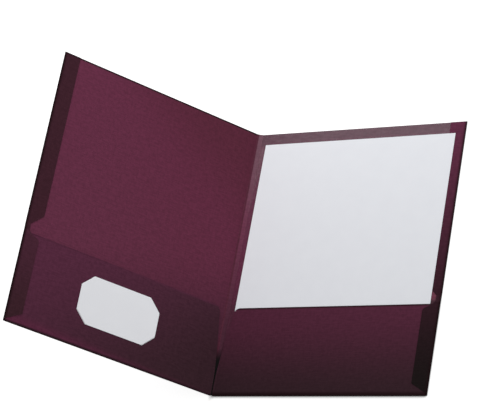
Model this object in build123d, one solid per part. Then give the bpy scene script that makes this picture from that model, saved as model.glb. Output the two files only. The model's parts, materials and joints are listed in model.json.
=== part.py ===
from build123d import *
import math
import os

# Two pocket presentation folder, die cut from one sheet of linen card, scored, folded and glued.
# It lies on its back cover, +X to that cover's free edge and +Y to its top, the front cover part raised.

# Flat panels between the scores
COVER_W = 233.0
COVER_H = 294.0
SPINE_W = 5.5
CARD_T = 0.36
GLUE_T = 0.06
OPENING = 121.0
HINGE_CLEAR = 0.05

# Pockets, turned up from the foot of each cover
POCKET_H = 95.0
POCKET_GAP = 0.72
POCKET_TOP_INSET = 6.4
POCKET_CORNER_R = 7.0
V_CUT_FOOT = 48.0
SPINE_CLEAR = 0.4

# Side strips, turned in from the free edge: a hem above the pocket and a flap over it, joined by a neck
HEM_W = 17.8
NECK_W = 5.5
NECK_OVER_POCKET = 2.0
NECK_RISE = 7.0
HEM_END_SLANT = 12.0
HEM_CORNER_R = 4.0
FLAP_TOP_SLANT = 7.0
FLAP_NOTCH_RUN = 3.5
FLAP_NOTCH_DROP = 3.2
FLAP_FOOT = 2.6
FLAP_FOOT_SLANT = 10.0
FLAP_CORNER_R = 1.3
FOLD_LIP = 0.3
SIDE_CLEAR = 0.4
GLUE_W = 9.0
GLUE_INSET = 5.5
GLUE_END = 15.0

# Letter sheet in the back pocket
SHEET_W = 215.9
SHEET_H = 279.4
SHEET_T = 0.10
SHEET_INSET = 6.2
SHEET_FOOT = 2.0
PAPER_CLEAR = 0.02

# Business card in the front pocket's slits
BIZ_W = 88.9
BIZ_H = 50.8
BIZ_T = 0.30
BIZ_FOOT = 25.2
SLIT_LEG = 12.5
SLIT_OVERRUN = 0.8
SLIT_CLEAR = 0.1

# Heights over the outside face of a cover
HEM_Z = CARD_T + GLUE_T
POCKET_Z = CARD_T + POCKET_GAP
FLAP_Z = POCKET_Z + CARD_T + GLUE_T
SHEET_Z = HEM_Z + CARD_T + PAPER_CLEAR
BIZ_Z = POCKET_Z + CARD_T + PAPER_CLEAR
BIZ_TIP_Z = POCKET_Z - PAPER_CLEAR - BIZ_T

# Outside radii of the folds, and the lines where flat panels stop against folds and scores
HEM_R = (HEM_Z + CARD_T) / 2
FLAP_R = (FLAP_Z + CARD_T) / 2
FOOT_R = (POCKET_Z + CARD_T) / 2
SIDE_LINE = COVER_W - FLAP_R - FOLD_LIP
HEM_LINE = COVER_W - HEM_W
NECK_LINE = COVER_W - NECK_W
NECK_LOW = POCKET_H + NECK_OVER_POCKET
NECK_HIGH = NECK_LOW + NECK_RISE
SCORE_LINE = CARD_T / 2 + HINGE_CLEAR
POCKET_NEAR = CARD_T / 2 + SPINE_CLEAR
POCKET_FAR = SIDE_LINE - SIDE_CLEAR

# Slits on the diagonals of the card's corners
SLIT_REACH = SLIT_LEG / math.sqrt(2)
SLIT_W = CARD_T + BIZ_T * math.sqrt(2) + 2 * SLIT_CLEAR
SLIT_LEN = 2 * (SLIT_REACH + SLIT_OVERRUN)


def panel(points, z, thick):
    """A flat piece of sheet with the given outline, lying at height z."""
    return Pos(0, 0, z) * extrude(make_face(Polyline(*points, close=True)), amount=thick)


def block(left, right, low, high, z, thick):
    """A rectangular piece of sheet between two upright and two level lines."""
    return panel([(left, low), (right, low), (right, high), (left, high)], z, thick)


def round_corner(sheet, x, y, radius):
    """Round the corner of a flat piece that stands at the given spot."""
    corner = sheet.edges().filter_by(Axis.Z).sort_by_distance((x, y, sheet.center().Z))[0]
    return fillet(corner, radius)


def fold_section(radius, lip):
    """Section across a cover's folded free edge: outer lip, round bend, and inner lip as far as given."""
    mid = COVER_W - radius
    top = 2 * radius
    under = top - CARD_T
    return make_face([
        Line((SIDE_LINE, 0, 0), (mid, 0, 0)),
        ThreePointArc((mid, 0, 0), (COVER_W, 0, radius), (mid, 0, top)),
        Line((mid, 0, top), (lip, 0, top)),
        Line((lip, 0, top), (lip, 0, under)),
        Line((lip, 0, under), (mid, 0, under)),
        ThreePointArc((mid, 0, under), (COVER_W - CARD_T, 0, radius), (mid, 0, CARD_T)),
        Line((mid, 0, CARD_T), (SIDE_LINE, 0, CARD_T)),
        Line((SIDE_LINE, 0, CARD_T), (SIDE_LINE, 0, 0)),
    ])


def cover():
    """Flat cover between the spine score, the foot fold and the side fold."""
    return block(SCORE_LINE, SIDE_LINE, FOOT_R, COVER_H, 0, CARD_T)


def hem_fold():
    """Folded free edge: loose round the pocket, tight beside the hem, with the sloping neck between."""
    loose = extrude(fold_section(FLAP_R, SIDE_LINE), amount=NECK_LOW - FLAP_FOOT, dir=(0, 1, 0))
    tight = extrude(fold_section(HEM_R, SIDE_LINE), amount=COVER_H - NECK_HIGH, dir=(0, 1, 0))
    neck_foot = Pos(0, NECK_LOW, 0) * fold_section(FLAP_R, NECK_LINE)
    neck_head = Pos(0, NECK_HIGH, 0) * fold_section(HEM_R, NECK_LINE)
    neck = loft([neck_foot, neck_head], ruled=True)
    return Pos(0, FLAP_FOOT, 0) * loose + neck + Pos(0, NECK_HIGH, 0) * tight


def upper_hem():
    """Strip glued down on the cover above the pocket, its lower end cut on the slant."""
    slant_top = NECK_HIGH + HEM_END_SLANT
    outline = [
        (SIDE_LINE, NECK_HIGH),
        (SIDE_LINE, COVER_H),
        (HEM_LINE, COVER_H),
        (HEM_LINE, slant_top),
        (NECK_LINE, NECK_HIGH),
    ]
    return round_corner(panel(outline, HEM_Z, CARD_T), HEM_LINE, slant_top, HEM_CORNER_R)


def pocket_flap():
    """Lower part of the side strip, turned over the pocket's outer edge and glued to its face."""
    top = NECK_LOW - FLAP_TOP_SLANT
    foot = FLAP_FOOT + FLAP_FOOT_SLANT
    outline = [
        (SIDE_LINE, FLAP_FOOT),
        (SIDE_LINE, NECK_LOW),
        (NECK_LINE, NECK_LOW),
        (NECK_LINE - FLAP_NOTCH_RUN, NECK_LOW - FLAP_NOTCH_DROP),
        (HEM_LINE, top),
        (HEM_LINE, foot),
    ]
    strip = round_corner(panel(outline, FLAP_Z, CARD_T), HEM_LINE, top, HEM_CORNER_R)
    return round_corner(strip, HEM_LINE, foot, FLAP_CORNER_R)


def glue_line(low, high, z):
    """Line of glue between the side strip and what it is stuck to."""
    return block(COVER_W - GLUE_INSET - GLUE_W, COVER_W - GLUE_INSET, low, high, z, GLUE_T)


def pocket_fold():
    """Round bend along the foot, joining the cover to its pocket."""
    section = make_face([
        ThreePointArc((0, FOOT_R, 0), (0, 0, FOOT_R), (0, FOOT_R, 2 * FOOT_R)),
        Line((0, FOOT_R, 2 * FOOT_R), (0, FOOT_R, POCKET_Z)),
        ThreePointArc((0, FOOT_R, POCKET_Z), (0, CARD_T, FOOT_R), (0, FOOT_R, CARD_T)),
        Line((0, FOOT_R, CARD_T), (0, FOOT_R, 0)),
    ])
    return Pos(POCKET_NEAR, 0, 0) * extrude(section, amount=POCKET_FAR - POCKET_NEAR, dir=(1, 0, 0))


def pocket():
    """Pocket panel. The V cut between the two pockets narrows downwards to the score, then runs beside it."""
    outline = [
        (POCKET_NEAR, FOOT_R),
        (POCKET_FAR, FOOT_R),
        (POCKET_FAR, POCKET_H),
        (POCKET_TOP_INSET, POCKET_H),
        (POCKET_NEAR, V_CUT_FOOT),
    ]
    return round_corner(panel(outline, POCKET_Z, CARD_T), POCKET_TOP_INSET, POCKET_H, POCKET_CORNER_R)


def card_seats():
    """Frames at the business card's four corners, each with +X along the diagonal into the card."""
    middle = Pos(COVER_W / 2, BIZ_FOOT + BIZ_H / 2, 0)
    return [
        middle * Pos(sx * BIZ_W / 2, sy * BIZ_H / 2, 0) * Rot(0, 0, math.degrees(math.atan2(-sy, -sx)))
        for sx in (-1, 1)
        for sy in (-1, 1)
    ]


def slit_pocket():
    """Front pocket with four slanting slits that take the corners of a business card."""
    slit = Pos(SLIT_REACH, 0, POCKET_Z) * extrude(Rectangle(SLIT_W, SLIT_LEN), amount=CARD_T)
    return pocket() - [seat * slit for seat in card_seats()]


def business_card():
    """Card lying on the pocket, each corner dipping through its slit to lie behind the pocket."""
    left = (COVER_W - BIZ_W) / 2
    blank = block(left, left + BIZ_W, BIZ_FOOT, BIZ_FOOT + BIZ_H, 0, FLAP_Z + BIZ_T)
    face = block(left, left + BIZ_W, BIZ_FOOT, BIZ_FOOT + BIZ_H, BIZ_Z, BIZ_T)
    half_drop = (BIZ_Z - BIZ_TIP_Z) / 2
    half_bend = BIZ_T * math.tan(math.pi / 8) / 2
    dip_foot = SLIT_REACH - half_drop
    dip_head = SLIT_REACH + half_drop
    tip = make_face(Polyline(
        (-SLIT_REACH, 0, BIZ_TIP_Z),
        (dip_foot + half_bend, 0, BIZ_TIP_Z),
        (dip_head + half_bend, 0, BIZ_Z),
        (dip_head + half_bend, 0, BIZ_Z + BIZ_T),
        (dip_head - half_bend, 0, BIZ_Z + BIZ_T),
        (dip_foot - half_bend, 0, BIZ_TIP_Z + BIZ_T),
        (-SLIT_REACH, 0, BIZ_TIP_Z + BIZ_T),
        close=True,
    ))
    tip = extrude(tip, amount=SLIT_LEN, dir=(0, 1, 0), both=True)
    trim = block(-SLIT_REACH, dip_head + half_bend, -SLIT_LEN, SLIT_LEN, BIZ_Z, BIZ_T)
    card = face - [seat * trim for seat in card_seats()]
    for seat in card_seats():
        card += seat * tip & blank
    return card


def letter_sheet():
    """Letter sheet standing in the back pocket, over the hem and behind the pocket."""
    return block(SHEET_INSET, SHEET_INSET + SHEET_W, SHEET_FOOT, SHEET_FOOT + SHEET_H, SHEET_Z, SHEET_T)


def spine():
    """Narrow strip between the two scores, rounded along each so that the covers can turn on it."""
    half = CARD_T / 2
    section = make_face([
        Line((0, 0, 0), (-SPINE_W, 0, 0)),
        ThreePointArc((-SPINE_W, 0, 0), (-SPINE_W - half, 0, half), (-SPINE_W, 0, CARD_T)),
        Line((-SPINE_W, 0, CARD_T), (0, 0, CARD_T)),
        ThreePointArc((0, 0, CARD_T), (half, 0, half), (0, 0, 0)),
    ])
    return Pos(0, FOOT_R, 0) * extrude(section, amount=COVER_H - FOOT_R, dir=(0, 1, 0))


# Places of the three rigid bodies, each panel having been drawn with its score along the Y axis
HALF_TURN = (180.0 - OPENING) / 2
TURN = Pos(0, 0, CARD_T / 2) * Rot(0, HALF_TURN, 0) * Pos(0, 0, -CARD_T / 2)
ON_BACK = Pos(-COVER_W / 2, -COVER_H / 2, 0)
ON_SPINE = ON_BACK * TURN
ON_FRONT = ON_SPINE * Pos(-SPINE_W, 0, 0) * TURN

nodes = {
    "spine": ON_SPINE * spine(),
    "back_pocket": ON_BACK * pocket(),
    "front_pocket": ON_FRONT * mirror(slit_pocket(), about=Plane.YZ),
    "business_card": ON_FRONT * mirror(business_card(), about=Plane.YZ),
    "letter_sheet": ON_BACK * letter_sheet(),
}
both_sides = {
    "cover": cover(),
    "hem_fold": hem_fold(),
    "upper_hem": upper_hem(),
    "hem_glue": glue_line(NECK_HIGH + HEM_END_SLANT + GLUE_END, COVER_H - GLUE_END, CARD_T),
    "pocket_fold": pocket_fold(),
    "pocket_flap": pocket_flap(),
    "flap_glue": glue_line(FLAP_FOOT + GLUE_END, POCKET_H - GLUE_END, POCKET_Z + CARD_T),
}
for name, piece in both_sides.items():
    nodes["back_" + name] = ON_BACK * piece
    nodes["front_" + name] = ON_FRONT * mirror(piece, about=Plane.YZ)

os.makedirs("parts", exist_ok=True)
for name, piece in nodes.items():
    export_step(piece, "parts/" + name + ".step")
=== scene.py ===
import bmesh
import bpy
import json
import math
from collections import namedtuple
from mathutils import Matrix, Quaternion, Vector


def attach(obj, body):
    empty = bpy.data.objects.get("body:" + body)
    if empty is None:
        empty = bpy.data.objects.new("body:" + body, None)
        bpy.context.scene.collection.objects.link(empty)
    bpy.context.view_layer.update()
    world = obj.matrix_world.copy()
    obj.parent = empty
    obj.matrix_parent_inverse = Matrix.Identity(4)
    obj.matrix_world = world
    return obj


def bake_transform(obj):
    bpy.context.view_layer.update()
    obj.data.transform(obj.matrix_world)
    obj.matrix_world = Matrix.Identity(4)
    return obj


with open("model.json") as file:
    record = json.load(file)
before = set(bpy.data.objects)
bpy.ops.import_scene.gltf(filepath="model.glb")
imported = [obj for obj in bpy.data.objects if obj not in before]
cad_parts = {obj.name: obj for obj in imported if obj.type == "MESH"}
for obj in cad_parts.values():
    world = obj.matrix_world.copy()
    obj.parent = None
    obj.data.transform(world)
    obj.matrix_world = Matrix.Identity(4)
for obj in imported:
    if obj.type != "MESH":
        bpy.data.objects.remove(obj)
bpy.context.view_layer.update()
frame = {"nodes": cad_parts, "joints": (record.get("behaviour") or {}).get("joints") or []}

# The two covers are flat panels of one sheet of burgundy card, die cut and scored. Embossed rollers press a
# linen finish into it, fine threads that run mostly across the folder. It has a faint sheen inside, and the
# outside is duller.
Panel = namedtuple("Panel", "fold axis")
Sheen = namedtuple("Sheen", "level roughness colour")
Fade = namedtuple("Fade", "way start end colour")

joints = {joint["name"]: joint for joint in frame["joints"]}
back_axis = Vector(joints["back_score"]["pos_m"])
front_axis = Vector(joints["front_score"]["pos_m"])
score_fold = -math.radians(joints["back_score"]["range_deg"][0])
back_panel = Panel(fold=0.0, axis=back_axis)
spine_panel = Panel(fold=score_fold, axis=back_axis)
front_panel = Panel(fold=2 * score_fold, axis=front_axis)

TO_HEAD, TO_FOOT = (0, 1, 0), (0, -1, 0)
TO_RIGHT, TO_LEFT = (1, 0, 0), (-1, 0, 0)
TO_OUTSIDE = (0, 0, -1)
FACE_MARGIN = 0.0001

THREAD_PITCH, THREAD_LENGTH = 0.0013, 0.009
THREAD_DETAIL = 2.0
WARP_SHARE = 0.38
WEAVE_RANGE = (0.38, 0.62)
CLOUD_SIZE = 0.0034
CLOUD_DETAIL = 3.0
CLOUD_RANGE = (0.36, 0.64)
CLOUD_SHARE = 0.45
THREAD_CONTRAST = 0.148
THREAD_GLOSS = 0.12
EMBOSS_DEPTH = 0.00006
EMBOSS_STRENGTH = 0.4
OUTSIDE_DULL = 0.30

WHITE = (1, 1, 1)
BACK_SHEEN = Sheen(level=0.105, roughness=0.19, colour=WHITE)
FRONT_SHEEN = Sheen(level=0.063, roughness=0.40, colour=WHITE)
OUTSIDE_TONE = (0.1195, 0.0234, 0.0530)
# Painted shade: a dark line along the cut head edge of the front cover and hem, and along the back pocket's
# mouth.
CUT_EDGE_PAINTED_SHADE = (0.0190, 0.0070, 0.0095)
V_CUT_SHADE = (0.0750, 0.01475, 0.0340)
BACK_COVER_TONE = (0.1100, 0.01765, 0.0485)
# Painted sheen: the back cover's margin beside the spine, next to the sheet, is greyer and lighter.
BACK_MARGIN_PAINTED_SHEEN = (0.1250, 0.0400, 0.0660)
# Painted shade: the back cover's head band is darker, under the lamp's real sheen there.
BACK_HEAD_PAINTED_SHADE = (0.0770, 0.0165, 0.0375)
NOTCH_TONE = (0.1500, 0.0315, 0.0600)
NOTCH_SHADE = (0.0540, 0.01475, 0.0260)
BACK_COVER_FADES = [
    Fade(way=(-0.5, 0.06, 0), start=0.002, end=0.006, colour=BACK_MARGIN_PAINTED_SHEEN),
    Fade(way=TO_HEAD, start=0.128, end=0.140, colour=BACK_HEAD_PAINTED_SHADE),
    Fade(way=TO_RIGHT, start=0.216, end=0.224, colour=NOTCH_TONE),
    Fade(way=TO_FOOT, start=0.0460, end=0.0492, colour=NOTCH_SHADE),
    Fade(way=(-0.7, -0.7, 0), start=0.000, end=0.049, colour=V_CUT_SHADE),
]
FRONT_COVER_TONE = (0.1200, 0.0239, 0.05375)
# Painted shade: the front cover darkens towards the spine.
NEAR_SPINE_PAINTED_SHADE = (0.11155, 0.01985, 0.0464)
# Painted shade: the front cover darkens towards its head, most beside the spine.
FRONT_HEAD_PAINTED_SHADE = (0.0900, 0.01695, 0.0352)
HEAD_EDGE_SHADE_FADE = Fade(way=TO_HEAD, start=0.1446, end=0.1460, colour=CUT_EDGE_PAINTED_SHADE)
FRONT_COVER_FADES = [
    Fade(way=TO_RIGHT, start=-0.20, end=-0.02, colour=NEAR_SPINE_PAINTED_SHADE),
    Fade(way=(0.55, 0.83, 0), start=0.005, end=0.10, colour=FRONT_HEAD_PAINTED_SHADE),
    Fade(way=(0.25, -1, 0), start=-0.010, end=0.075, colour=V_CUT_SHADE),
    HEAD_EDGE_SHADE_FADE,
]


def join(tree, source, target):
    """Join two sockets of a node tree."""
    tree.links.new(source, target)


def arithmetic(tree, operation, first, second):
    """A Math node on two sockets or numbers."""
    node = tree.nodes.new("ShaderNodeMath")
    node.operation = operation
    for socket, item in zip(node.inputs, (first, second)):
        if isinstance(item, (int, float)):
            socket.default_value = item
        else:
            join(tree, item, socket)
    return node.outputs[0]


def spread(tree, value, low, high):
    """A value eased from 0 at low to 1 at high."""
    node = tree.nodes.new("ShaderNodeMapRange")
    node.interpolation_type = "SMOOTHSTEP"
    node.inputs["From Min"].default_value = low
    node.inputs["From Max"].default_value = high
    join(tree, value, node.inputs["Value"])
    return node.outputs["Result"]


def tint(tree, share, first, second):
    """A colour between two colours, each a value or a socket."""
    mix = tree.nodes.new("ShaderNodeMix")
    mix.data_type = "RGBA"
    join(tree, share, mix.inputs["Factor"])
    for socket, colour in ((mix.inputs["A"], first), (mix.inputs["B"], second)):
        if isinstance(colour, tuple):
            socket.default_value = (*colour, 1)
        else:
            join(tree, colour, socket)
    return mix.outputs["Result"]


def blended(tree, first, second, share):
    """A value between two values, with a share of the second."""
    rest = arithmetic(tree, "MULTIPLY", first, 1 - share)
    return arithmetic(tree, "ADD", rest, arithmetic(tree, "MULTIPLY", second, share))


def noise(tree, place, scale, detail):
    """Noise over a place, stretched by a scale in each direction."""
    stretch = tree.nodes.new("ShaderNodeMapping")
    stretch.inputs["Scale"].default_value = scale
    join(tree, place, stretch.inputs["Vector"])
    texture = tree.nodes.new("ShaderNodeTexNoise")
    texture.inputs["Scale"].default_value = 1.0
    texture.inputs["Detail"].default_value = detail
    join(tree, stretch.outputs["Vector"], texture.inputs["Vector"])
    return texture.outputs["Fac"]


def flat_place(tree, panel):
    """Object coordinates with a panel's fold undone, so that the sheet lies flat with its score at zero."""
    mapping = tree.nodes.new("ShaderNodeMapping")
    mapping.inputs["Rotation"].default_value = (0, -panel.fold, 0)
    mapping.inputs["Location"].default_value = -(Matrix.Rotation(-panel.fold, 3, "Y") @ panel.axis)
    join(tree, tree.nodes.new("ShaderNodeTexCoord").outputs["Object"], mapping.inputs["Vector"])
    return mapping.outputs["Vector"]


def along(tree, place, way, start, end):
    """How far a place is along a way over the flat sheet, from 0 at the start to 1 at the end."""
    dot = tree.nodes.new("ShaderNodeVectorMath")
    dot.operation = "DOT_PRODUCT"
    dot.inputs[1].default_value = way
    join(tree, place, dot.inputs[0])
    return spread(tree, dot.outputs["Value"], start, end)


def emboss(tree, shader, height, depth, strength):
    """Press a height into the surface of a shader."""
    bump = tree.nodes.new("ShaderNodeBump")
    bump.inputs["Strength"].default_value = strength
    bump.inputs["Distance"].default_value = depth
    join(tree, height, bump.inputs["Height"])
    join(tree, bump.outputs["Normal"], shader.inputs["Normal"])


def thread_tone(tree, share, colour):
    """A colour, deeper between the threads where the share is 0 and lighter on them where it is 1."""
    deep = tuple(part * (1 - THREAD_CONTRAST) for part in colour)
    light = tuple(part * (1 + THREAD_CONTRAST) for part in colour)
    return tint(tree, share, deep, light)


def linen(name, panel, colour, sheen, fades=(), outside=None):
    """Linen card. Each fade leads its colour over to another one, between two distances along a way over
    the flat sheet. Outside is the colour of the other face, which is also duller."""
    material = bpy.data.materials.new(name)
    material.use_nodes = True
    tree = material.node_tree
    card = tree.nodes["Principled BSDF"]
    place = flat_place(tree, panel)
    weft = noise(tree, place, (1 / THREAD_LENGTH, 1 / THREAD_PITCH, 0), THREAD_DETAIL)
    warp = noise(tree, place, (1 / THREAD_PITCH, 1 / THREAD_LENGTH, 0), THREAD_DETAIL)
    weave = spread(tree, blended(tree, weft, warp, WARP_SHARE), *WEAVE_RANGE)
    clouds = noise(tree, place, (1 / CLOUD_SIZE, 1 / CLOUD_SIZE, 0), CLOUD_DETAIL)
    share = blended(tree, weave, spread(tree, clouds, *CLOUD_RANGE), CLOUD_SHARE)
    shown = thread_tone(tree, share, colour)
    for fade in fades:
        reached = along(tree, place, fade.way, fade.start, fade.end)
        shown = tint(tree, reached, shown, thread_tone(tree, share, fade.colour))
    gloss = arithmetic(tree, "MULTIPLY", weave, THREAD_GLOSS)
    roughness = arithmetic(tree, "SUBTRACT", sheen.roughness + THREAD_GLOSS / 2, gloss)
    if outside:
        other_face = along(tree, place, TO_OUTSIDE, -FACE_MARGIN, FACE_MARGIN)
        shown = tint(tree, other_face, shown, thread_tone(tree, share, outside))
        dullness = arithmetic(tree, "MULTIPLY", other_face, OUTSIDE_DULL)
        roughness = arithmetic(tree, "ADD", roughness, dullness)
    join(tree, shown, card.inputs["Base Color"])
    join(tree, roughness, card.inputs["Roughness"])
    card.inputs["Specular IOR Level"].default_value = sheen.level
    card.inputs["Specular Tint"].default_value = (*sheen.colour, 1)
    emboss(tree, card, weave, EMBOSS_DEPTH, EMBOSS_STRENGTH)
    return material


def finish(node, material):
    """Give a CAD node its finish."""
    mesh = frame["nodes"][node].data
    mesh.materials.clear()
    mesh.materials.append(material)


back_cover_linen = linen(
    "back_cover_linen", back_panel, BACK_COVER_TONE, BACK_SHEEN, BACK_COVER_FADES, OUTSIDE_TONE,
)
front_cover_linen = linen(
    "front_cover_linen", front_panel, FRONT_COVER_TONE, FRONT_SHEEN, FRONT_COVER_FADES, OUTSIDE_TONE,
)
finish("back_cover", back_cover_linen)
finish("front_cover", front_cover_linen)

# The spine is a narrow strip of the same card between two scores, which a steel rule presses in from
# outside. Each score stands up inside as a fine round bead, on which the cover beside it turns.
COVER_HALF_H = 0.147
FOOT_R = 0.00072
BEAD_R = 0.00034
BEAD_SIDES = 12
BEAD_END_R = 0.0002
BEAD_END_STEPS = 2
SMOOTH_ANGLE = math.radians(40)
SPINE_SHEEN = Sheen(level=0.056, roughness=0.34, colour=WHITE)
SPINE_TONE = (0.1415, 0.0341, 0.0675)
# Painted sheen: the spine and its beads are greyer and lighter towards the head.
SPINE_HEAD_PAINTED_SHEEN = (0.1510, 0.0700, 0.0960)
# Painted shade: the spine darkens towards its foot.
SPINE_FOOT_PAINTED_SHADE = (0.0590, 0.01605, 0.0300)
# Painted shade: a dark band on the spine along the front score, where the card curves round into the cover.
CREASE_PAINTED_SHADE = (0.0825, 0.0178, 0.03465)
SLIT_SHADE = (0.0025, 0.0015, 0.0017)
SCORE_FADES = [
    Fade(way=TO_HEAD, start=0.03, end=0.13, colour=SPINE_HEAD_PAINTED_SHEEN),
    Fade(way=TO_FOOT, start=-0.055, end=0.103, colour=SPINE_FOOT_PAINTED_SHADE),
    Fade(way=TO_LEFT, start=0.0034, end=0.0043, colour=CREASE_PAINTED_SHADE),
]
SPINE_FADES = SCORE_FADES + [
    Fade(way=TO_FOOT, start=0.0935, end=0.1095, colour=SLIT_SHADE),
]
spine_linen = linen("spine_linen", spine_panel, SPINE_TONE, SPINE_SHEEN, SPINE_FADES, OUTSIDE_TONE)
score_linen = linen("score_linen", spine_panel, SPINE_TONE, SPINE_SHEEN, SCORE_FADES, OUTSIDE_TONE)
finish("spine", spine_linen)


def choose(piece, test):
    """Select those vertices of a piece in edit mode whose place passes a test."""
    mesh = bmesh.from_edit_mesh(piece.data)
    for vertex in mesh.verts:
        vertex.select_set(test(vertex.co))
    mesh.select_flush_mode()
    bmesh.update_edit_mesh(piece.data)


def score_bead(name, axis, lean):
    """A fine half round bead along a score, its ends eased. Lean turns its crown into the open fold."""
    bpy.ops.object.select_all(action="DESELECT")
    length = 2 * COVER_HALF_H - FOOT_R
    bpy.ops.mesh.primitive_cylinder_add(
        vertices=BEAD_SIDES, radius=BEAD_R, depth=length, rotation=(math.pi / 2, 0, 0),
        location=(axis.x, COVER_HALF_H - length / 2, axis.z),
    )
    bead = bpy.context.object
    bead.name = name
    bpy.ops.object.transform_apply(location=True, rotation=True, scale=True)
    bpy.ops.object.mode_set(mode="EDIT")
    for end in (COVER_HALF_H, COVER_HALF_H - length):
        choose(bead, lambda co: abs(co.y - end) < BEAD_END_R)
        bpy.ops.mesh.bevel(offset=BEAD_END_R, segments=BEAD_END_STEPS, affect="EDGES")
    bpy.ops.mesh.select_all(action="SELECT")
    inward = (math.sin(lean), 0, math.cos(lean))
    bpy.ops.mesh.bisect(plane_co=axis, plane_no=inward, use_fill=True, clear_inner=True)
    bpy.ops.object.mode_set(mode="OBJECT")
    bpy.ops.object.shade_smooth_by_angle(angle=SMOOTH_ANGLE)
    bead.data.materials.append(score_linen)
    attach(bead, "spine_strip")


score_bead("back_score_bead", back_axis, (back_panel.fold + spine_panel.fold) / 2)
score_bead("front_score_bead", front_axis, (spine_panel.fold + front_panel.fold) / 2)

# The pockets are panels of the same card, turned up from the foot of each cover in a round bend, so they
# show the sheet's outer face. Beside the V cut between them, their lower inner corners run on over the
# spine and almost meet.
CARD_T = 0.00036
POCKET_MIDDLE_Z = 0.00126
POCKET_H = 0.095
POCKET_MOUTH = POCKET_H - COVER_HALF_H
POCKET_NEAR_SCORE = 0.00058
V_CUT_FOOT = 0.048
CORNER_REACH = 0.00215
CORNER_ROWS = 10
CORNER_CURVE = 3
CORNER_FOLD_STEPS = 8
BEND_HALF = 0.0006
BEND_STEPS = 4
ROW_MARGIN = 0.00001
MERGE_GAP = 0.000001
SATIN_TINT = (1, 0.24, 0.48)
POCKET_SATIN = Sheen(level=0.075, roughness=0.42, colour=SATIN_TINT)
# Painted shade: the pockets are darker than the same card's outer face on the covers. They darken further
# towards the foot, and the front one also darkens towards the spine.
BACK_POCKET_SHADED_TONE = (0.0730, 0.0170, 0.03525)
BACK_POCKET_FOOT_SHADE = (0.0250, 0.0126, 0.0159)
FOLD_SHADE = (0.0050, 0.00275, 0.00225)
BACK_POCKET_FADES = [
    Fade(way=TO_FOOT, start=-POCKET_MOUTH, end=COVER_HALF_H, colour=BACK_POCKET_FOOT_SHADE),
    Fade(way=TO_HEAD, start=POCKET_MOUTH - 0.0026, end=POCKET_MOUTH - 0.0008, colour=CUT_EDGE_PAINTED_SHADE),
    Fade(way=TO_FOOT, start=COVER_HALF_H - 0.0056, end=COVER_HALF_H - 0.0016, colour=FOLD_SHADE),
]
FRONT_POCKET_SHADED_TONE = (0.08785, 0.02305, 0.0475)
FRONT_POCKET_FOOT_SHADE = (0.02865, 0.0141, 0.01795)
# Painted shade: a faint dark line along the front pocket's mouth.
FRONT_MOUTH_SHADE = (0.0730, 0.0198, 0.0395)
# Painted highlight: a lighter, redder band just above the front pocket's foot, where it turns up.
FRONT_TURN_HIGHLIGHT = (0.0960, 0.0205, 0.04625)
# Painted shade: the round bends at the pockets' foot are painted dark.
FRONT_BEND_SHADE = (0.0155, 0.00735, 0.0095)
FRONT_POCKET_FADES = [
    Fade(way=(0.6, -0.8, 0), start=-0.085, end=0.105, colour=FRONT_POCKET_FOOT_SHADE),
    Fade(way=TO_HEAD, start=POCKET_MOUTH - 0.0024, end=POCKET_MOUTH - 0.0008, colour=FRONT_MOUTH_SHADE),
    Fade(way=(-0.05, -1, 0), start=0.1425, end=0.157, colour=FRONT_TURN_HIGHLIGHT),
    Fade(way=TO_FOOT, start=COVER_HALF_H - 0.0034, end=COVER_HALF_H - 0.0012, colour=FRONT_BEND_SHADE),
]
back_pocket_linen = linen(
    "back_pocket_linen", back_panel, BACK_POCKET_SHADED_TONE, POCKET_SATIN, BACK_POCKET_FADES,
)
front_pocket_linen = linen(
    "front_pocket_linen", front_panel, FRONT_POCKET_SHADED_TONE, POCKET_SATIN, FRONT_POCKET_FADES,
)
finish("back_pocket", back_pocket_linen)
finish("front_pocket", front_pocket_linen)
finish("back_pocket_fold", linen("back_bend_shaded_linen", back_panel, FOLD_SHADE, POCKET_SATIN))
finish("front_pocket_fold", linen("front_bend_shaded_linen", front_panel, FRONT_BEND_SHADE, POCKET_SATIN))


def cut_blank(name, width, height, middle):
    """A flat rectangle of card, left in edit mode."""
    bpy.ops.object.select_all(action="DESELECT")
    bpy.ops.mesh.primitive_plane_add(size=1.0)
    blank = bpy.context.object
    blank.name = name
    bpy.ops.object.mode_set(mode="EDIT")
    bpy.ops.transform.resize(value=(width, height, 1))
    bpy.ops.transform.translate(value=middle)
    return blank


def set_on_panel(blank, panel, material):
    """Give a shaped blank its thickness and finish, and turn it up with its panel, out of edit mode."""
    bpy.ops.mesh.select_all(action="SELECT")
    bpy.ops.mesh.normals_make_consistent(inside=False)
    bpy.ops.object.mode_set(mode="OBJECT")
    wall = blank.modifiers.new("wall", "SOLIDIFY")
    wall.thickness = CARD_T
    wall.offset = 0.0
    bpy.ops.object.modifier_apply(modifier="wall")
    blank.matrix_world = Matrix.Translation(panel.axis) @ Matrix.Rotation(panel.fold, 4, "Y")
    bpy.ops.object.transform_apply(location=True, rotation=True, scale=True)
    bpy.ops.object.shade_smooth_by_angle(angle=SMOOTH_ANGLE)
    blank.data.materials.append(material)


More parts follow.
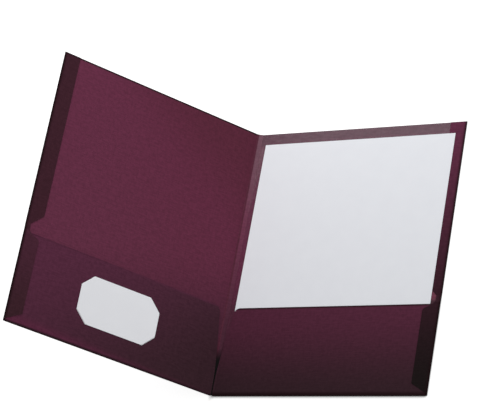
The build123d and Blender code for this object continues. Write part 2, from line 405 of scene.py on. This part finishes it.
def pocket_corner(name, hand, panel, material):
    """Inner corner of a pocket, over the spine, bent across the score at its resting fold. Hand is 1 where
    the flat sheet runs from its score to its free edge along +X, and -1 along -X."""
    foot = FOOT_R - COVER_HALF_H
    height = V_CUT_FOOT - FOOT_R
    middle_x = hand * (POCKET_NEAR_SCORE - CORNER_REACH) / 2
    middle = (middle_x, foot + height / 2, POCKET_MIDDLE_Z - CARD_T / 2)
    corner = cut_blank(name, POCKET_NEAR_SCORE + CORNER_REACH, height, middle)
    bpy.ops.mesh.subdivide(number_cuts=CORNER_ROWS - 1)
    for row in range(1, CORNER_ROWS + 1):
        share = row / CORNER_ROWS
        choose(corner, lambda co: abs(co.y - foot - share * height) < ROW_MARGIN)
        bpy.ops.transform.resize(
            value=(1 - share ** CORNER_CURVE, 1, 1), center_override=(hand * POCKET_NEAR_SCORE, 0, 0),
        )
    choose(corner, lambda co: co.y < foot + ROW_MARGIN)
    bpy.ops.mesh.spin(
        steps=CORNER_FOLD_STEPS, angle=-math.pi, center=(0, foot, FOOT_R - CARD_T / 2), axis=(1, 0, 0),
    )
    for step in range(BEND_STEPS):
        beyond = BEND_HALF - 2 * BEND_HALF * (step + 0.5) / BEND_STEPS
        choose(corner, lambda co: hand * co.x < beyond)
        bpy.ops.transform.rotate(
            value=-hand * score_fold / BEND_STEPS, orient_axis="Y", center_override=(0, 0, 0),
        )
    bpy.ops.mesh.select_all(action="SELECT")
    bpy.ops.mesh.remove_doubles(threshold=MERGE_GAP)
    set_on_panel(corner, panel, material)
    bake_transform(corner)


pocket_corner("back_pocket_corner", 1, back_panel, back_pocket_linen)
pocket_corner("front_pocket_corner", -1, front_panel, front_pocket_linen)

# The side strips of the card are turned in from each free edge and glued down, as a hem on the cover and,
# below the notch, as a flap over the pocket. The folded edge is painted dark, as shade where the card turns
# round away from the light.
STRIP_SATIN = Sheen(level=0.052, roughness=0.45, colour=SATIN_TINT)
COVER_W = 0.233
FOLD_SHADE_W = 0.004
FOLD_START = COVER_W - FOLD_SHADE_W
# Painted shade: the back strip darkens almost to black towards the foot.
BACK_STRIP_TONE = (0.10975, 0.0239, 0.0532)
BACK_STRIP_FOOT_SHADE = (0.0040, 0.00545, 0.00395)
BACK_STRIP_FADES = [
    Fade(way=TO_FOOT, start=-0.21, end=0.143, colour=BACK_STRIP_FOOT_SHADE),
    Fade(way=TO_RIGHT, start=FOLD_START, end=COVER_W, colour=FOLD_SHADE),
]
# Painted shade: the front hem and flap are darker than the same card's outer face on the cover, and the
# flap darkens towards the foot.
FRONT_HEM_SHADED_TONE = (0.04225, 0.0147, 0.0216)
FRONT_FLAP_SHADED_TONE = (0.05885, 0.01855, 0.03135)
FRONT_FLAP_FOOT_SHADE = (0.03745, 0.01515, 0.0197)
FRONT_FOLD_FADE = Fade(way=TO_LEFT, start=FOLD_START, end=COVER_W, colour=FOLD_SHADE)
FRONT_HEM_FADES = [FRONT_FOLD_FADE, HEAD_EDGE_SHADE_FADE]
FRONT_FLAP_FADES = [
    Fade(way=TO_FOOT, start=0.06, end=0.145, colour=FRONT_FLAP_FOOT_SHADE),
    FRONT_FOLD_FADE,
]
back_strip_linen = linen("back_strip_linen", back_panel, BACK_STRIP_TONE, STRIP_SATIN, BACK_STRIP_FADES)
front_hem_linen = linen("front_hem_linen", front_panel, FRONT_HEM_SHADED_TONE, STRIP_SATIN, FRONT_HEM_FADES)
front_flap_linen = linen("front_flap_linen", front_panel, FRONT_FLAP_SHADED_TONE, STRIP_SATIN, FRONT_FLAP_FADES)
finish("back_upper_hem", back_strip_linen)
finish("back_pocket_flap", back_strip_linen)
finish("back_hem_fold", back_strip_linen)
finish("front_upper_hem", front_hem_linen)
finish("front_hem_fold", front_hem_linen)
finish("front_pocket_flap", front_flap_linen)

# Below each flap the folded free edge runs on to the foot of the cover. It is the same card, bent round the
# pocket's edge with the flap, and the die has cut its end on the flap's slant.
FLAP_FOOT = 0.0026
FLAP_R = 0.00093
FOLD_LIP = 0.0003
FOLD_STEPS = 10
CUT_LOW, CUT_HIGH = 0.0003, 0.0022


def fold_foot(name, hand, panel, material, cover_body):
    """Foot of a folded free edge, cut higher on the pocket's side. Hand is as for a pocket's corner."""
    bend_r = FLAP_R - CARD_T / 2
    bend_x = hand * (COVER_W - FLAP_R)
    low, high = CUT_LOW - COVER_HALF_H, FLAP_FOOT - COVER_HALF_H
    edge = cut_blank(name, FOLD_LIP, high - low, (bend_x - hand * FOLD_LIP / 2, (low + high) / 2, 0))
    choose(edge, lambda co: abs(co.x - bend_x) < ROW_MARGIN)
    bpy.ops.mesh.spin(
        steps=FOLD_STEPS, angle=hand * math.pi, center=(bend_x, 0, bend_r), axis=(0, 1, 0),
    )
    bpy.ops.mesh.extrude_region_move(TRANSFORM_OT_translate={"value": (-hand * FOLD_LIP, 0, 0)})
    bpy.ops.mesh.select_all(action="SELECT")
    bpy.ops.mesh.remove_doubles(threshold=MERGE_GAP)
    slant = Vector((0, 2 * bend_r, CUT_LOW - CUT_HIGH)).normalized()
    bpy.ops.mesh.bisect(plane_co=(0, low, 0), plane_no=slant, clear_inner=True)
    set_on_panel(edge, panel, material)
    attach(edge, cover_body)


fold_foot("back_fold_foot", 1, back_panel, back_strip_linen, "back_half")
fold_foot("front_fold_foot", -1, front_panel, front_hem_linen, "front_half")

# Four thin lines of cold glue hold the side strips down on covers and pockets. The glue is brushed on,
# pressed flat under the strips and dries cream coloured.
STOCK_CLOUDS_PER_M = 60.0
STOCK_CLOUD_DETAIL = 4.0
STOCK_ROUGHNESS = 0.6
STOCK_GLOSS = 0.25
TOOTH_DETAIL = 1.0
TOOTH_ROUGHNESS = 0.2
TOOTH_DEPTH = 0.00001
TOOTH_STRENGTH = 0.2
GLUE_TONES = ((0.70, 0.66, 0.54), (0.80, 0.76, 0.64))
GLUE_GRAINS_PER_M = 900.0


def pale_stock(name, tones, grains_per_m):
    """Paper, card or dried glue, faintly cloudy between two tones and with a fine tooth."""
    material = bpy.data.materials.new(name)
    material.use_nodes = True
    tree = material.node_tree
    stock = tree.nodes["Principled BSDF"]
    place = tree.nodes.new("ShaderNodeTexCoord").outputs["Object"]
    clouds = noise(tree, place, [STOCK_CLOUDS_PER_M] * 3, STOCK_CLOUD_DETAIL)
    tooth = noise(tree, place, [grains_per_m] * 3, TOOTH_DETAIL)
    dullness = arithmetic(tree, "MULTIPLY", tooth, TOOTH_ROUGHNESS)
    join(tree, tint(tree, clouds, *tones), stock.inputs["Base Color"])
    join(tree, arithmetic(tree, "ADD", STOCK_ROUGHNESS, dullness), stock.inputs["Roughness"])
    stock.inputs["Specular IOR Level"].default_value = STOCK_GLOSS
    emboss(tree, stock, tooth, TOOTH_DEPTH, TOOTH_STRENGTH)
    return material


dried_glue = pale_stock("dried_glue", GLUE_TONES, GLUE_GRAINS_PER_M)
for side in ("back", "front"):
    finish(side + "_hem_glue", dried_glue)
    finish(side + "_flap_glue", dried_glue)

# The letter sheet is one leaf of smooth white office paper, cut square. It stands loose in the back pocket,
# over the hem.
PAPER_TONES = ((0.779, 0.794, 0.838), (0.817, 0.833, 0.872))
PAPER_GRAINS_PER_M = 2500.0
finish("letter_sheet", pale_stock("office_paper", PAPER_TONES, PAPER_GRAINS_PER_M))

# The business card is a blank of smooth white card, cut to the standard size. It is pushed corner by corner
# into the front pocket's four slanting slits, which hold it.
CARD_TONES = ((0.820, 0.828, 0.865), (0.850, 0.858, 0.890))
CARD_GRAINS_PER_M = 3500.0
finish("business_card", pale_stock("business_card_stock", CARD_TONES, CARD_GRAINS_PER_M))

# The folder lies on a plain matt table under a soft sky. The table is grey, so that it throws little light
# up, and glows white wherever it is seen. The glow dims in the narrow shade along the edges of the back
# cover, but not under the front cover, which is raised.
TABLE_SIZE = 12.0
TABLE_DROP = 0.0002
TABLE_GREY = (0.45, 0.45, 0.45)
TABLE_GLOW = 0.86
CONTACT_REACH = 0.0105
CONTACT_DEPTH = 1.6
TOWARD_LIGHT = (0.5, 0.6, 0.62)
SHADE_START_X, SHADE_FULL_X = -0.1245, -0.1190
SKY_LIGHT = 0.34
SKY_SEEN = 1.0


def seen_share(tree):
    """1 for a ray from the camera, a mirror or a clear material, and 0 for one that only brings light."""
    path = tree.nodes.new("ShaderNodeLightPath")
    mirrored = arithmetic(tree, "MAXIMUM", path.outputs["Is Camera Ray"], path.outputs["Is Glossy Ray"])
    return arithmetic(tree, "MAXIMUM", mirrored, path.outputs["Is Transmission Ray"])


def contact_shade(tree):
    """How much the folder shades the table close by, on the side away from the light."""
    contact = tree.nodes.new("ShaderNodeAmbientOcclusion")
    contact.inputs["Distance"].default_value = CONTACT_REACH
    toward_light = tree.nodes.new("ShaderNodeCombineXYZ")
    for socket, part in zip(toward_light.inputs, TOWARD_LIGHT):
        socket.default_value = part
    join(tree, toward_light.outputs["Vector"], contact.inputs["Normal"])
    lit = arithmetic(tree, "POWER", contact.outputs["AO"], CONTACT_DEPTH)
    place = tree.nodes.new("ShaderNodeTexCoord").outputs["Object"]
    by_back_cover = along(tree, place, TO_RIGHT, SHADE_START_X, SHADE_FULL_X)
    return arithmetic(tree, "MULTIPLY", arithmetic(tree, "SUBTRACT", 1.0, lit), by_back_cover)


bpy.ops.object.select_all(action="DESELECT")
bpy.ops.mesh.primitive_plane_add(size=TABLE_SIZE, location=(0, 0, -TABLE_DROP))
table = bpy.context.object
table.name = "table"
table_paint = bpy.data.materials.new("table_paint")
table_paint.use_nodes = True
tree = table_paint.node_tree
paint = tree.nodes["Principled BSDF"]
paint.inputs["Base Color"].default_value = (*TABLE_GREY, 1)
paint.inputs["Roughness"].default_value = 1.0
paint.inputs["Specular IOR Level"].default_value = 0.0
paint.inputs["Emission Color"].default_value = (*WHITE, 1)
open_share = arithmetic(tree, "SUBTRACT", 1.0, contact_shade(tree))
glow = arithmetic(tree, "MULTIPLY", open_share, TABLE_GLOW)
join(tree, arithmetic(tree, "MULTIPLY", seen_share(tree), glow), paint.inputs["Emission Strength"])
table.data.materials.append(table_paint)

world = bpy.data.worlds.new("studio")
world.use_nodes = True
bpy.context.scene.world = world
tree = world.node_tree
sky = tree.nodes["Background"]
sky.inputs["Color"].default_value = (*WHITE, 1)
sky_level = tree.nodes.new("ShaderNodeMapRange")
sky_level.inputs["To Min"].default_value = SKY_LIGHT
sky_level.inputs["To Max"].default_value = SKY_SEEN
join(tree, seen_share(tree), sky_level.inputs["Value"])
join(tree, sky_level.outputs["Result"], sky.inputs["Strength"])

# Two softboxes light the folder, flat rectangles of white cloth with a lamp behind. One stands beyond the
# raised front cover, so that its sheen lies on the head of the back cover, and one is low at the back
# cover's free edge.


def softbox(name, place, target, width, height, power):
    """A soft rectangular lamp that points from its place to a target."""
    lamp = bpy.data.objects.new(name, bpy.data.lights.new(name, "AREA"))
    bpy.context.scene.collection.objects.link(lamp)
    lamp.data.shape = "RECTANGLE"
    lamp.data.size = width
    lamp.data.size_y = height
    lamp.data.energy = power
    lamp.location = place
    lamp.rotation_euler = (Vector(target) - Vector(place)).to_track_quat("-Z", "Y").to_euler()


softbox(
    "head_softbox", place=(-0.188, 0.632, 0.76), target=(0.015, 0.1, 0.0),
    width=0.76, height=0.32, power=6.1,
)
softbox(
    "side_softbox", place=(1.2, -0.05, 0.42), target=(-0.1, 0.0, 0.06),
    width=0.8, height=0.8, power=6.2,
)

# The camera looks down into the open folder with a long lens, from beyond the back cover's lower corner.
# It is rolled about its own axis, so that the spine runs up the picture as in the photograph.
PICTURE_WIDTH_PX = 482
FOCAL_PX = 2153.7
SENSOR_MM = 36.0
AIM = Vector((-0.1282, 0.0707, 0.0))
VIEW_AZIMUTH = math.radians(50.48)
VIEW_ELEVATION = math.radians(51.41)
VIEW_ROLL = math.radians(-46.38)
VIEW_DISTANCE = 2.248

toward_camera = Vector((
    math.sin(VIEW_AZIMUTH) * math.cos(VIEW_ELEVATION),
    -math.cos(VIEW_AZIMUTH) * math.cos(VIEW_ELEVATION),
    math.sin(VIEW_ELEVATION),
))
camera = bpy.data.objects.new("camera", bpy.data.cameras.new("camera"))
bpy.context.scene.collection.objects.link(camera)
camera.data.sensor_width = SENSOR_MM
camera.data.lens = FOCAL_PX / PICTURE_WIDTH_PX * SENSOR_MM
camera.rotation_mode = "QUATERNION"
camera.rotation_quaternion = (-toward_camera).to_track_quat("-Z", "Y") @ Quaternion((0, 0, 1), VIEW_ROLL)
camera.location = AIM + toward_camera * VIEW_DISTANCE
bpy.context.scene.camera = camera
bpy.context.scene.view_settings.view_transform = "Standard"
